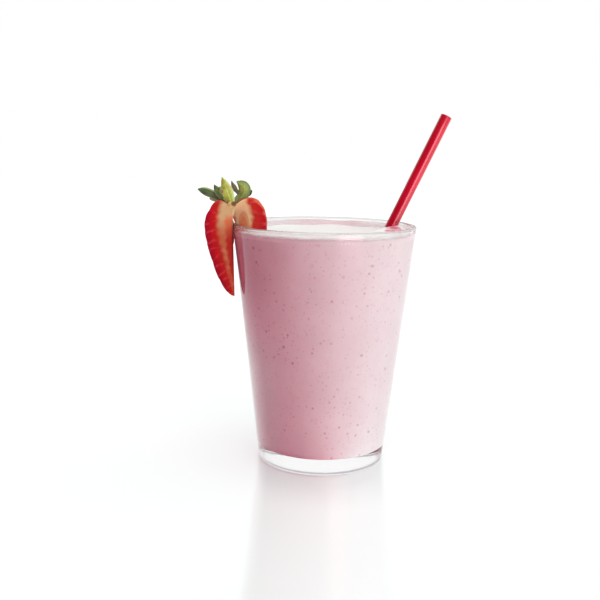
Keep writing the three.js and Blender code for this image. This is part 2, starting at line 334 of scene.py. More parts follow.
def make_piece(name, points, faces, looks, face_looks=None):
    """A mesh piece from points in millimetres, its faces looking outward."""
    mesh = bpy.data.meshes.new(name)
    mesh.from_pydata((np.asarray(points, float) * MM).tolist(), [], faces)
    for look in looks:
        mesh.materials.append(look)
    if face_looks is not None:
        mesh.polygons.foreach_set("material_index", np.asarray(face_looks, np.int32))
    mesh.validate()
    form = bmesh.new()
    form.from_mesh(mesh)
    bmesh.ops.recalc_face_normals(form, faces=form.faces)
    form.to_mesh(mesh)
    form.free()
    mesh.shade_smooth()
    mesh.set_sharp_from_angle(angle=math.radians(SHARP_ANGLE))
    made = bpy.data.objects.new(name, mesh)
    bpy.context.scene.collection.objects.link(made)
    return made


def turned(profile, around, closed=False):
    """Points and faces of a profile of radius and height turned round the Z axis."""
    points, rings, faces = [], [], []
    angles = np.linspace(0, 2 * math.pi, around, endpoint=False)
    for radius, height in profile:
        if radius < TINY:
            rings.append([len(points)] * around)
            points.append((0.0, 0.0, height))
        else:
            rings.append(list(range(len(points), len(points) + around)))
            points.extend((radius * math.cos(a), radius * math.sin(a), height) for a in angles)
    pairs = list(zip(rings, rings[1:]))
    if closed:
        pairs.append((rings[-1], rings[0]))
    for low, high in pairs:
        for i in range(around):
            j = (i + 1) % around
            face = list(dict.fromkeys((low[i], low[j], high[j], high[i])))
            if len(face) > 2:
                faces.append(face)
    return np.array(points), faces


def tumbler_profile(steps):
    lip_centre = outside_radius(LIP_HEIGHT) - LIP_RADIUS
    corner_height = FLOOR_THICKNESS + FLOOR_CORNER
    corner_centre = inside_radius(corner_height) - FLOOR_CORNER
    return [
        (0, 0),
        *arc(outside_radius(HEEL_RADIUS) - HEEL_RADIUS, HEEL_RADIUS, HEEL_RADIUS, -90, 0, steps),
        *[(outside_radius(z), z) for z in np.linspace(OUTSIDE_FROM, WALL_TO, WALL_BANDS)],
        *arc(lip_centre, LIP_HEIGHT, LIP_RADIUS, 0, 180, 2 * steps),
        *[(inside_radius(z), z) for z in np.linspace(WALL_TO, INSIDE_FROM, WALL_BANDS)],
        *arc(corner_centre, corner_height, FLOOR_CORNER, 0, -90, steps),
        (0, FLOOR_THICKNESS),
    ]


# Places in the finishes, in metres
LIP_BEGINS, LIP_FULL = 0.1167, 0.1177
# Painted shade: where the dark ring under the foot is painted
PAINTED_RING_INNER, PAINTED_RING_OUTER = (0.0190, 0.0215), (0.0265, 0.0240)
PAINTED_RING_HEIGHTS = (0.0004, 0.0002)
FROTH_BEGINS, FROTH_FULL = 0.1130, 0.1135
WET_PLACE, WET_SIZE = (0.0335, 0.0120), (0.013, 0.013)
# Where a reflection of the straw is painted on the froth, which the straw also parts
PARTED_AND_MIRRORED_PLACE, PARTED_AND_MIRRORED_SIZE = (0.0346, 0.0068), (0.0045, 0.0066)
CORE_X, CORE_TOP, CORE_LENGTH = -0.0432, 0.1275, 0.0445
LEFT_FLESH, RIGHT_FLESH = 0.0150, 0.0154
SHOULDER_PLACE, SHOULDER_SIZE = (-0.0365, 0.1180), (0.0087, 0.0131)
OVAL_PLACE, OVAL_SIZE = (0.0038, 0.1170), (0.0022, 0.0062)
# Where the brown patch on a leaf sits
BROWN_PATCH_PLACE, BROWN_PATCH_SIZE = (-0.0492, 0.1339), (0.0010, 0.0010)
STUB_MARK_PLACE, STUB_MARK_SIZE = (-0.0440, 0.1281), (0.0014, 0.0012)
RAY_SPACING = 0.0039

# Specks of fruit in the drink: how many to a metre, size, share, colour and strength
SPECKS = (
    (230.0, 0.20, 0.50, (0.34, 0.07, 0.12), 1.0),
    (310.0, 0.22, 0.40, (0.44, 0.11, 0.17), 1.0),
    (450.0, 0.27, 0.35, (0.52, 0.21, 0.27), 0.8),
    (700.0, 0.35, 0.30, (0.60, 0.32, 0.38), 0.7),
)

# Leaf finishes: name, two greens, the edge, how strong the brown patch is and how strongly the edge
# colour shows along one side
LEAF_FINISHES = (
    ("leaf_dark", (0.018, 0.060, 0.022), (0.05, 0.12, 0.03), (0.40, 0.50, 0.24), 0.0, 0.8),
    ("leaf_green", (0.12, 0.22, 0.03), (0.24, 0.35, 0.07), (0.08, 0.15, 0.03), 0.0, 0.55),
    ("leaf_bright", (0.20, 0.38, 0.04), (0.40, 0.58, 0.10), (0.55, 0.70, 0.32), 0.0, 0.55),
    ("leaf_shaded", (0.05, 0.07, 0.035), (0.13, 0.15, 0.07), (0.30, 0.30, 0.15), 0.0, 0.55),
    ("leaf_pale", (0.14, 0.28, 0.08), (0.30, 0.46, 0.20), (0.40, 0.52, 0.30), 0.9, 0.55),
    ("leaf_olive", (0.09, 0.14, 0.03), (0.17, 0.24, 0.06), (0.26, 0.32, 0.12), 0.0, 0.55),
    ("leaf_mid", (0.035, 0.085, 0.02), (0.10, 0.19, 0.04), (0.42, 0.54, 0.28), 0.0, 0.8),
)


def from_middle(first, second, place, size):
    """How far from the middle of an oval patch, squared: 0 there and 1 at its edge."""
    return ((first - place[0]) / size[0]) ** 2 + ((second - place[1]) / size[1]) ** 2


# Finishes
def glass_look():
    look = Look("clear_glass")
    smears = look.noise(look.place(), 90.0, 3.0)
    x, y, z = look.place().parts()
    lip = z.step(LIP_BEGINS, LIP_FULL)
    # A grey ring under the foot: painted shade, the dark line that the thick foot shows
    reach = (x * x + y * y).root()
    painted_foot_ring = z.step(*PAINTED_RING_HEIGHTS) * reach.step(*PAINTED_RING_INNER) * reach.step(*PAINTED_RING_OUTER)
    # Painted shade: the rim is tinted grey, and greyer at the back
    lip_painted_shade = look.blend(y.step(0.0, 0.02), (0.92, 0.92, 0.915), (0.85, 0.82, 0.81))
    tint = look.blend(lip, (0.985, 0.993, 0.990), lip_painted_shade)
    return look.surface({
        "Base Color": look.blend(painted_foot_ring, tint, (0.20, 0.19, 0.24)),
        "Metallic": painted_foot_ring * 0.9,
        # Painted sheen: a clear coat only on the lower left of the glass
        "Coat Weight": 0.9 * x.step(-0.012, -0.030) * z.step(0.086, 0.040),
        "Coat Roughness": 0.06,
        "Coat IOR": 2.0,
        "Roughness": smears.step(0.45, 0.8) * 0.03 + lip * 0.26,
        "IOR": 1.5,
        "Transmission Weight": 1.0,
    })


def milkshake_look():
    look = Look("milkshake_pink")
    where = look.place()
    x, y, z = where.parts()
    cloud = look.noise(where, 55.0, 3.0)
    mottle = look.noise(where, 260.0, 2.0)
    pink = look.blend(cloud.step(0.3, 0.75), (0.78, 0.63, 0.67), (0.82, 0.68, 0.71))
    pink = look.blend(mottle.step(0.45, 0.8) * 0.35, pink, (0.76, 0.575, 0.62))
    # Painted shade: a deeper pink near the top at the left, and a slightly darker right end
    painted_shade_left = x.step(-0.012, -0.026) * z.step(0.078, 0.096)
    pink = look.blend(painted_shade_left, pink, pink * (0.92, 0.86, 0.87))
    pink = look.blend((x - 0.116 * z).step(0.019, 0.026), pink, pink * (0.94, 0.94, 0.94))
    froth = z.step(FROTH_BEGINS, FROTH_FULL)
    pink = look.blend(froth, pink, (0.93, 0.925, 0.92))
    # Specks of fruit, from a few large ones to many small faint ones, here and there in crowds
    crowd = 0.5 + 0.5 * look.noise(where, 28.0, 2.0).step(0.42, 0.62) * x.step(0.046, 0.0)
    for scale, radius, share, colour, strength in SPECKS:
        distance, tint = look.cells(where, scale)
        chance, spread, depth = tint.parts()
        reach = radius * (0.5 + 0.7 * spread)
        dot = (distance / reach).step(1.2, 0.35) * crowd * chance.step(share - 0.01, share + 0.01)
        shown = strength * (1 - 0.8 * froth) * (0.15 + 0.85 * depth * depth)
        pink = look.blend(dot * shown, pink, colour)
    # The froth is dull, and wet only round the straw
    wet = from_middle(x, y, WET_PLACE, WET_SIZE).root().step(1.0, 0.46)
    # A painted reflection of the straw there, and pink where the straw parts the froth
    parted_and_mirrored = from_middle(x, y, PARTED_AND_MIRRORED_PLACE, PARTED_AND_MIRRORED_SIZE).step(1.3, 0.5)
    ripple = look.noise(where * (0.8, 1.6, 1.0), 330.0, 2.0).step(0.36, 0.60)
    pink = look.blend(parted_and_mirrored * froth * (0.4 + 0.6 * ripple), pink, (0.70, 0.20, 0.29))
    bubble = look.cells(where, 420.0)[0]
    height = froth * (look.noise(where, 150.0, 4.0) + 0.25 * bubble.step(0.5, 0.1))
    return look.surface({
        "Base Color": pink,
        "Roughness": 0.34 + 0.16 * cloud + froth * (0.1 - 0.44 * wet),
        "IOR": 1.36,
        "Normal": look.bumps(height, 0.3, 0.0006),
    })


def film_look():
    look = Look("milk_film")
    where = look.place()
    x, y, z = where.parts()
    streaks = look.noise(where * (1.0, 1.0, 0.3), 110.0, 3.0)
    front = y.step(0.012, -0.012)
    lower = 0.0018 * front + 0.0004 * (1 - front) * x.step(-0.004, -0.022)
    thick = (z + lower + (streaks - 0.5) * 0.0012).step(0.1183, 0.1157)
    # Painted light and shade: the film at the back is lighter than at the front, and darker towards
    # the left
    back = look.blend(streaks.step(0.35, 0.7), (0.80, 0.715, 0.735), (0.83, 0.765, 0.78))
    back = look.blend(x.step(0.006, -0.012), back, (0.70, 0.655, 0.67))
    # Painted light: the film is made clearer at the back right, so that it shows lighter there
    cover = 0.68 + 0.22 * front - 0.40 * (1 - front) * x.step(0.000, 0.034)
    return look.surface({
        "Base Color": look.blend(front, back, (0.80, 0.655, 0.69)),
        "Roughness": 0.3 + 0.2 * streaks,
        "IOR": 1.12,
        "Alpha": 0.10 + thick * cover,
    })


def straw_look():
    look = Look("red_straw")
    where = look.place()
    drift = look.noise(where, 60.0, 2.0)
    return look.surface({
        "Base Color": look.blend(
            drift.step(0.3, 0.7), (0.36, 0.0006, 0.014), (0.42, 0.0008, 0.018)
        ),
        "Roughness": 0.11 + 0.06 * drift,
        "IOR": 1.7,
    })


def berry_skin_look():
    look = Look("strawberry_skin")
    where = look.place()
    z = where.parts()[2]
    blotch = look.noise(where, 160.0, 3.0)
    red = look.blend(blotch.step(0.3, 0.7), (0.42, 0.006, 0.012), (0.62, 0.014, 0.016))
    shoulder = (z + 0.004 * blotch).step(0.1275, 0.1335)
    red = look.blend(shoulder * 0.7, red, (0.75, 0.28, 0.12))
    return look.surface({
        "Base Color": red,
        "Roughness": 0.22 + 0.2 * blotch,
        "IOR": 1.45,
        "Subsurface Weight": 0.25,
        "Subsurface Radius": (0.004, 0.0006, 0.0006),
        "Subsurface Scale": 1.0,
        "Normal": look.bumps(blotch, 0.25, 0.0005),
    })


def berry_cut_look():
    look = Look("strawberry_cut")
    where = look.place()
    x, _, z = where.parts()
    grain = look.noise(where, 480.0, 3.0)
    drift = look.noise(where, 140.0, 2.0)
    wisp = look.noise(where, 240.0, 2.0)
    # How far down the berry, from 0 at the calyx to 1 at the tip, and how far out to the skin
    down = (CORE_TOP - z) / CORE_LENGTH
    side = x - CORE_X - 0.0012 * down + 0.0010 * (drift - 0.5)
    left = side.step(0.0004, -0.0004)
    left_reach = LEFT_FLESH * (1.04 - (down - 0.22).size() ** 1.8 * 1.25)
    right_reach = RIGHT_FLESH * (1.06 - (down - 0.2).size() ** 1.7 * 1.2)
    out = (side.size() / (left * left_reach + (1 - left) * right_reach)).lowest(1.3)
    # Deep red flesh, crimson at the skin and orange towards the core, with faint pale rays
    slope = 0.12 + 0.6 * down
    run = (z + side.size() * slope) / RAY_SPACING + 1.6 * (drift - 0.5)
    rays = (run * (2 * math.pi)).sine() * 0.5 + 0.5
    red = look.blend(grain.step(0.3, 0.7), (0.34, 0.002, 0.009), (0.43, 0.004, 0.011))
    red = look.blend(out.step(0.72, 0.98) * 0.9 * left, red, (0.24, 0.001, 0.018))
    orange = look.blend(left, (0.44, 0.034, 0.012), (0.36, 0.022, 0.010))
    red = look.blend(out.step(0.84, 0.56) * 0.6, red, orange)
    streak = rays.step(0.66, 1.0) * out.step(1.04, 0.84) * wisp.step(0.38, 0.64) * 0.5
    red = look.blend(streak, red, (0.50, 0.08, 0.07))
    # The right shoulder is paler and more orange at its edge
    edge = from_middle(x, z, SHOULDER_PLACE, SHOULDER_SIZE) + 0.16 * (rays - 0.5)
    shoulder = (1 - left) * edge.step(0.74, 1.02) * z.step(0.1160, 0.1225)
    red = look.blend(shoulder * 0.85, red, (0.62, 0.21, 0.12))
    # A cream ring round the core, which darkens towards the tip
    ring_left = 0.56 - 0.09 * down.step(0.25, 0.7) - 0.07 * down.step(0.12, 0.0)
    ring_right = 0.38 + 0.11 * down.step(-0.03, 0.09) - 0.06 * down.step(0.12, 0.22)
    ring_out = left * ring_left + (1 - left) * ring_right
    ring_in = 0.35 - 0.10 * down.step(0.5, 1.0)
    ragged = out + 0.04 * (rays - 0.5) + 0.12 * (drift - 0.5) + 0.05 * (wisp - 0.5)
    pale = look.blend(left, (0.60, 0.53, 0.26), (0.46, 0.44, 0.20))
    cream = look.blend(down.step(0.10, 0.36) * left, pale, (0.42, 0.17, 0.065))
    cream = look.blend(down.step(0.45, 0.95), cream, (0.44, 0.075, 0.025))
    cream = look.blend(wisp.step(0.45, 0.7) * 0.3, cream, (0.60, 0.50, 0.28))
    ringed = (ragged - ring_out).step(0.10, -0.10) * (1 - 0.5 * down.step(0.75, 1.0))
    flesh = look.blend(ringed, red, cream)
    # The core, orange at the top and darker red lower down
    core = look.blend(down.step(0.14, 0.42), (0.53, 0.19, 0.066), (0.40, 0.020, 0.014))
    middle = (out - 0.08).step(0.10, 0.0) * down.step(0.1, 0.4)
    core = look.blend(middle, core, (0.28, 0.004, 0.012))
    inner = left * (ragged - ring_in).step(0.05, -0.08) * down.step(0.08, 0.18)
    oval = from_middle(side + 0.0003 * (wisp - 0.5), z, OVAL_PLACE, OVAL_SIZE)
    inner = (inner + (1 - left) * oval.step(1.35, 0.45)).lowest(1.0)
    outline = (1 - left) * oval.step(0.75, 1.15) * oval.step(1.7, 1.3)
    flesh = look.blend(outline * 0.5, flesh, (0.40, 0.12, 0.05))
    return look.surface({
        "Base Color": look.blend(inner * 0.9, flesh, core),
        "Roughness": 0.3 + 0.25 * grain,
        "IOR": 1.22,
        "Subsurface Weight": 0.1,
        "Subsurface Radius": (0.002, 0.0006, 0.0005),
        "Subsurface Scale": 1.0,
        "Normal": look.bumps(grain + rays * 0.4, 0.3, 0.0003),
    })


def seed_look():
    look = Look("strawberry_seeds")
    tone = look.noise(look.place(), 500.0, 2.0)
    return look.surface({
        "Base Color": look.blend(tone, (0.42, 0.20, 0.05), (0.70, 0.46, 0.16)),
        "Roughness": 0.3 + 0.2 * tone,
    })


def leaf_look(name, dark, light, edge, brown_patch, one_side_edge):
    look = Look(name)
    u, v, _ = look.along().parts()
    where = look.place()
    x, _, z = where.parts()
    cloud = look.noise(where, 300.0, 3.0)
    across = (u - 0.5).size() * 2.0
    rib = across.step(0.12, 0.02)
    veins = ((v * 40.0 - across * 8.0).sine() * 0.5 + 0.5).step(0.78, 1.0) * across.step(1.0, 0.3)
    green = look.blend(cloud.step(0.3, 0.7) * v.step(0.1, 0.6), dark, light)
    vein_green = tuple(c * 1.5 + 0.02 for c in light)
    green = look.blend(rib * 0.45 + veins * 0.2, green, vein_green)
    # The edge colour, stronger along one side of the leaf
    rim = (across.step(0.8, 1.0) * 0.4 + u.step(0.70, 0.88) * one_side_edge).lowest(1.0)
    green = look.blend(rim, green, edge)
    # A reddish-brown patch on some leaves
    spot = from_middle(x, z, BROWN_PATCH_PLACE, BROWN_PATCH_SIZE).step(1.4, 0.4)
    green = look.blend(spot * brown_patch, green, (0.24, 0.08, 0.045))
    return look.surface({
        "Base Color": green,
        "Roughness": 0.4 + 0.2 * cloud,
        "IOR": 1.45,
        "Normal": look.bumps(rib * 0.8 + veins * 0.5 + cloud * 0.4, 0.35, 0.0003),
    })


def stub_look():
    look = Look("calyx_stub")
    where = look.place()
    x, _, z = where.parts()
    cloud = look.noise(where, 500.0, 2.0)
    spot = from_middle(x, z, STUB_MARK_PLACE, STUB_MARK_SIZE).step(1.5, 0.4)
    green = look.blend(cloud.step(0.3, 0.7), (0.34, 0.34, 0.08), (0.58, 0.52, 0.20))
    return look.surface({
        "Base Color": look.blend(spot * 0.9, green, (0.09, 0.05, 0.012)),
        "Roughness": 0.5 + 0.2 * cloud,
    })


# Tumbler
def build_glass(look):
    points, faces = turned(tumbler_profile(10), GLASS_AROUND)
    return make_piece("glass_tumbler", points, faces, [look])


# Milkshake, which reaches a little into the glass so that no air shows between them
def build_milkshake(look):
    corner_height = FLOOR_THICKNESS + FLOOR_CORNER
    corner_centre = inside_radius(corner_height) - FLOOR_CORNER
    top_radius = inside_radius(DRINK_LEVEL) + INTO_WALL
    heights = np.linspace(INSIDE_FROM, DRINK_WALL_TO, DRINK_BANDS)
    shares = [1 - i / DRINK_RINGS for i in range(DRINK_RINGS + 1)]
    profile = [
        (0, FLOOR_THICKNESS - INTO_WALL),
        *arc(corner_centre, corner_height, FLOOR_CORNER + INTO_WALL, -90, 0, 8),
        *[(inside_radius(z) + INTO_WALL, z) for z in heights],
        *[(top_radius * share, DRINK_LEVEL) for share in shares],
    ]
    points, faces = turned(profile, DRINK_AROUND)
    top = np.abs(points[:, 2] - DRINK_LEVEL) < TINY
    points[top, 2] = drink_top(points[top, 0], points[top, 1])
    return make_piece("milkshake_body", points, faces, [look])


# The thin film left on the glass above the drink
def build_film(look):
    points, rings, faces = [], [], []
    shares = np.linspace(0, 1, FILM_BANDS + 1)
    angles = np.linspace(0, 2 * math.pi, FILM_AROUND, endpoint=False)
    for layer in (INTO_WALL, -FILM_THICKNESS):
        for share in shares if layer > 0 else shares[::-1]:
            thin = 1 if layer > 0 else 1 - 0.75 * share
            ring = []
            for a in angles:
                wave = 0.25 * math.sin(3 * a + 1) + 0.2 * math.sin(8 * a) + 0.1 * math.sin(17 * a)
                near_wall = NEAR_WALL_RADIUS * math.cos(a), NEAR_WALL_RADIUS * math.sin(a)
                low = drink_top(*near_wall) - FILM_BELOW_TOP
                high = max(FILM_EDGE_HEIGHT + wave, low + FILM_LEAST_HEIGHT)
                z = low + (high - low) * share
                radius = inside_radius(z) + layer * thin
                ring.append(len(points))
                points.append((radius * math.cos(a), radius * math.sin(a), z))
            rings.append(ring)
    for low, high in zip(rings, rings[1:] + rings[:1]):
        for i in range(FILM_AROUND):
            j = (i + 1) % FILM_AROUND
            faces.append((low[i], low[j], high[j], high[i]))
    return make_piece("milk_film_on_glass", points, faces, [look])


# Straw
def build_straw(look):
    low = (STRAW_FOOT_HEIGHT - STRAW_AT_RIM[2]) / STRAW_LEAN[2]
    high = (STRAW_TOP_HEIGHT - STRAW_AT_RIM[2]) / STRAW_LEAN[2]
    bore = STRAW_RADIUS - STRAW_WALL
    rounded = high - STRAW_EDGE
    profile = [
        (bore, low), (STRAW_RADIUS, low),
        *[(STRAW_RADIUS, z) for z in np.linspace(low + 4, rounded, STRAW_BANDS)],
        (STRAW_RADIUS - STRAW_EDGE * 0.3, high - STRAW_EDGE * 0.3),
        (STRAW_RADIUS - STRAW_EDGE, high),
        (bore + STRAW_EDGE * 0.6, high), (bore, high - STRAW_EDGE * 0.6),
        *[(bore, z) for z in np.linspace(rounded - 1, low + 2, STRAW_BANDS)],
    ]
    points, faces = turned(profile, STRAW_AROUND, closed=True)
    turn = Vector((0, 0, 1)).rotation_difference(Vector(STRAW_LEAN)).to_matrix()
    points = points @ np.array(turn).T + STRAW_AT_RIM
    return make_piece("red_straw", points, faces, [look])


# Strawberry
def berry_point(share, angle):
    """A point of the uncut berry's skin, at a share of its length and an angle about it."""
    left, right = spline(LEFT_OUTLINE, share), spline(RIGHT_OUTLINE, share)
    side = np.cos(angle)
    half = (right[:, 0] - left[:, 0]) / 2
    x = (left[:, 0] + right[:, 0]) / 2 + half * side
    z = (left[:, 1] + right[:, 1]) / 2 + (right[:, 1] - left[:, 1]) / 2 * side
    y = CUT_FACE_Y + BERRY_DEPTH * half * np.sin(angle)
    return np.stack([x, y, z], -1)


def in_slit(place):
    """Whether the knife and the glass took this place of the skin away."""
    low, high = (np.interp(place[2], side[:, 1], side[:, 0]) for side in (SLIT_LEFT, SLIT_RIGHT))
    x = place[0] + SLIT_SLANT * (place[1] - CUT_FACE_Y)
    return place[2] < NO_SEEDS_UNDER_SLIT_END and low - SEED_REACH < x < high + SEED_REACH


def in_wall(place):
    middle = outside_radius(place[2]) - WALL_AT_RIM / 2
    aside = abs(math.hypot(place[0], place[1]) - middle)
    return place[2] < NO_SEEDS_UNDER_WALL and aside < WALL_HALF_ROOM + SEED_REACH


def seed_places():
    """Places of the seeds on the skin, in staggered rows, with the way the skin faces there."""
    draw = np.random.default_rng(SEED_DRAW)
    shares, angles = [], []
    for row, share in enumerate(np.linspace(SEEDS_FROM, SEEDS_TO, SEED_ROWS)):
        here = np.array([share])
        half = (spline(RIGHT_OUTLINE, here)[0, 0] - spline(LEFT_OUTLINE, here)[0, 0]) / 2
        count = max(3, int(round(math.pi * half / SEED_SPACING)))
        for i in range(count):
            turn = i + 0.25 + 0.5 * (row % 2) + draw.uniform(-0.12, 0.12)
            angles.append(turn / count * math.pi)
            shares.append(share + draw.uniform(-0.008, 0.008))
    shares, angles = np.array(shares), np.array(angles)
    here = berry_point(shares, angles)
    along = berry_point(shares + 0.01, angles) - berry_point(shares - 0.01, angles)
    across = berry_point(shares, angles + 0.02) - berry_point(shares, angles - 0.02)
    out = np.cross(along, across)
    out /= np.linalg.norm(out, axis=1)[:, None]
    flip = np.sign((out * (here - BERRY_MIDDLE)).sum(1))
    return here, along / np.linalg.norm(along, axis=1)[:, None], out * flip[:, None]


def cut_with(body, tools):
    """Takes the tools' room out of a piece and drops the tools."""
    for tool in tools:
        change = body.modifiers.new("cut", "BOOLEAN")
        change.operation = "DIFFERENCE"
        change.solver = "EXACT"
        change.object = tool
    bpy.context.view_layer.update()
    shown = body.evaluated_get(bpy.context.evaluated_depsgraph_get())
    result = bpy.data.meshes.new_from_object(shown)
    body.modifiers.clear()
    body.data = result
    for tool in tools:
        bpy.data.objects.remove(tool)


def wall_tool(looks):
    """The room that the tumbler's wall takes."""
    lip_centre = outside_radius(LIP_HEIGHT) - LIP_RADIUS
    points, faces = turned([
        (inside_radius(ROOM_FOOT_HEIGHT) - WALL_ROOM, ROOM_FOOT_HEIGHT),
        (outside_radius(ROOM_FOOT_HEIGHT) + WALL_ROOM, ROOM_FOOT_HEIGHT),
        *arc(lip_centre, LIP_HEIGHT, LIP_RADIUS + WALL_ROOM, 0, 180, 12),
    ], ROOM_AROUND, closed=True)
    return make_piece("wall_tool", points, faces, looks, [1] * len(faces))


def slit_tool(looks):
    """The room of the slit, which slants as it runs back."""
    count = len(SLIT_OUTLINE)
    points = [
        (x - SLIT_SLANT * (y - CUT_FACE_Y), y, z)
        for y in (-SLIT_REACH, SLIT_REACH) for x, z in SLIT_OUTLINE
    ]
    faces = [tuple(range(count)), tuple(range(2 * count - 1, count - 1, -1))]
    faces += [(i, i + count, (i + 1) % count + count, (i + 1) % count) for i in range(count)]
    return make_piece("slit_tool", points, faces, looks, [1] * len(faces))


def build_strawberry(skin, cut):
    shares = np.linspace(0, 1, BERRY_ROWS + 1)[1:-1]
    turns = np.linspace(0, math.pi, BERRY_ARCS + 1)
    grid_share, grid_angle = np.meshgrid(shares, turns, indexing="ij")
    back = berry_point(grid_share.ravel(), grid_angle.ravel())
    # A dent round each seed, also where the cut passes one
    dent = np.zeros(len(back))
    for place in seed_places()[0]:
        gap = np.linalg.norm(back - place, axis=1)
        dent = np.maximum(dent, np.exp(-((gap / DENT_WIDTH) ** 2)))
    inward = BERRY_MIDDLE - back
    inward[:, 1] *= smooth(np.sin(grid_angle.ravel()), 0.0, 0.12)
    inward /= np.linalg.norm(inward, axis=1)[:, None]
    back += inward * (DENT_DEPTH * dent)[:, None]
    ends = [berry_point(np.array([end]), np.array([0.0]))[0] for end in (0.0, 1.0)]
    points = np.array(ends + list(back))

    def ring(j, k):
        return 2 + j * (BERRY_ARCS + 1) + k

    last = BERRY_ROWS - 2
    faces = []
    for j in range(last):
        for k in range(BERRY_ARCS):
            faces.append((ring(j, k), ring(j, k + 1), ring(j + 1, k + 1), ring(j + 1, k)))
    for k in range(BERRY_ARCS):
        faces.append((0, ring(0, k + 1), ring(0, k)))
        faces.append((1, ring(last, k), ring(last, k + 1)))
    face_looks = [0] * len(faces) + [1]
    right_edge = [ring(j, 0) for j in range(last + 1)]
    left_edge = [ring(j, BERRY_ARCS) for j in range(last + 1)]
    faces.append((0, *right_edge, 1, *reversed(left_edge)))
    looks = [skin, cut]
    berry = make_piece("strawberry_half", points, faces, looks, face_looks)
    cut_with(berry, [slit_tool(looks), wall_tool(looks)])
    return berry


def build_seeds(look):
    points, faces = [], []
    inner = SEED_BANDS - 1
    for place, lengthwise, outward in zip(*seed_places()):
        if in_slit(place) or in_wall(place):
            continue
        lengthwise = lengthwise - outward * (lengthwise @ outward)
        lengthwise /= np.linalg.norm(lengthwise)
        sideways = np.cross(outward, lengthwise)
        middle = place - outward * SEED_SUNK
        start = len(points)
        for i in range(1, SEED_BANDS):
            for k in range(SEED_AROUND):
                tip, turn = math.pi * i / SEED_BANDS, 2 * math.pi * k / SEED_AROUND
                points.append(
                    middle
                    + lengthwise * SEED_HALF_LENGTH * math.cos(tip)
                    + sideways * SEED_HALF_WIDTH * math.sin(tip) * math.cos(turn)
                    + outward * SEED_HEIGHT * math.sin(tip) * math.sin(turn)
                )
        first_tip = len(points)
        points.append(middle + lengthwise * SEED_HALF_LENGTH)
        points.append(middle - lengthwise * SEED_HALF_LENGTH)
        for k in range(SEED_AROUND):
            follows = (k + 1) % SEED_AROUND
            for i in range(inner - 1):
                a, b = start + i * SEED_AROUND + k, start + i * SEED_AROUND + follows
                faces.append((a, b, b + SEED_AROUND, a + SEED_AROUND))
            end = start + (inner - 1) * SEED_AROUND
            faces.append((first_tip, start + follows, start + k))
            faces.append((first_tip + 1, end + k, end + follows))
    return make_piece("strawberry_seeds", points, faces, [look])


# Leaves: start, bend and end, half width, the way it spreads, where it is widest, and its finish
LEAVES = [
    ((-46.4, -5.4, 128.2), (-55.3, -4.1, 133.4), (-61.5, -5.6, 134.8), 2.05, (0.25, 0.4, 1), 0.66, 0),
    ((-46.2, -5.0, 128.3), (-51.2, -5.7, 132.6), (-53.7, -4.6, 136.9), 1.85, (1, 0.2, 0.45), 0.58, 6),
    ((-44.6, -6.1, 127.5), (-47.1, -6.1, 133.0), (-49.8, -5.4, 140.6), 2.6, (1, -0.1, 0.3), 0.54, 2),
    ((-40.9, -3.6, 131.3), (-44.2, -2.4, 135.1), (-45.6, -2.0, 138.6), 1.1, (1, 0.9, 0.6), 0.55, 3),
    ((-43.4, -5.0, 128.3), (-35.3, -0.5, 135.0), (-42.9, -3.6, 138.3), 2.95, (1, 0.2, 0.25), 0.6, 1),
    ((-46.6, -4.6, 128.2), (-54.1, -3.9, 129.8), (-56.0, -4.2, 130.3), 1.0, (0.1, 0.6, 1), 0.55, 4),
    ((-43.4, -5.8, 127.6), (-43.0, -5.3, 130.9), (-40.2, -4.4, 132.8), 1.25, (0.5, 0.3, -0.7), 0.5, 5),
    ((-46.4, -5.4, 128.2), (-49.6, -5.9, 131.9), (-50.9, -5.0, 136.4), 1.2, (1, 0.2, 0.3), 0.55, 4),
    ((-40.8, -3.4, 130.1), (-36.9, -1.4, 131.8), (-35.5, -1.8, 134.5), 0.9, (-0.6, 0.5, 0.8), 0.6, 0),
]


def leaf_sheet(leaf, phase):
    """Points of one thin wavy leaf, both faces, and its run and width at each point."""
    start, bend, end = (np.array(p, float) for p in leaf[:3])
    half, spread, widest = leaf[3], np.array(leaf[4], float) / np.linalg.norm(leaf[4]), leaf[5]
    lean = math.log(0.5) / math.log(widest)
    points, marks = [], []
    for layer in (-0.5, 0.5):
        for j in range(LEAF_ROWS + 1):
            s = 1 - j / LEAF_ROWS
            here = (1 - s) ** 2 * start + 2 * s * (1 - s) * bend + s * s * end
            along = 2 * (1 - s) * (bend - start) + 2 * s * (end - bend)
            along /= np.linalg.norm(along)
            across = spread - along * (spread @ along)
            across /= np.linalg.norm(across)
            out = np.cross(along, across)
            belly = math.sin(math.pi * min(max(s, 0.02), 0.985) ** lean) ** 0.8
            width = half * (0.34 * (1 - s) ** 2 + belly)
            for i in range(LEAF_COLUMNS + 1):
                u = 2 * i / LEAF_COLUMNS - 1
                wave = 0.28 * math.sin(s * 7 + phase + u * 1.3) + 0.5 * (u * u - 0.4) * half / 3
                thick = LEAF_THICKNESS * (1 - 0.35 * u * u) * layer
                points.append(here + across * width * u + out * (wave + thick))
                marks.append((0.5 + 0.5 * u, s))
    return points, marks


def leaf_faces(first):
    """Faces of one leaf, both sides and the edge, whose points start at first."""
    step = LEAF_COLUMNS + 1
    count = (LEAF_ROWS + 1) * step
    faces = []
    for j in range(LEAF_ROWS):
        for i in range(LEAF_COLUMNS):
            a = first + j * step + i
            b, c, d = a + 1, a + step + 1, a + step
            faces.append((a, d, c, b))
            faces.append((a + count, b + count, c + count, d + count))
    border = list(range(step))
    border += [j * step + LEAF_COLUMNS for j in range(1, LEAF_ROWS + 1)]
    border += [LEAF_ROWS * step + i for i in range(LEAF_COLUMNS - 1, -1, -1)]
    border += [j * step for j in range(LEAF_ROWS - 1, 0, -1)]
    for a, b in zip(border, border[1:] + border[:1]):
        faces.append((first + a, first + b, first + b + count, first + a + count))
    return faces


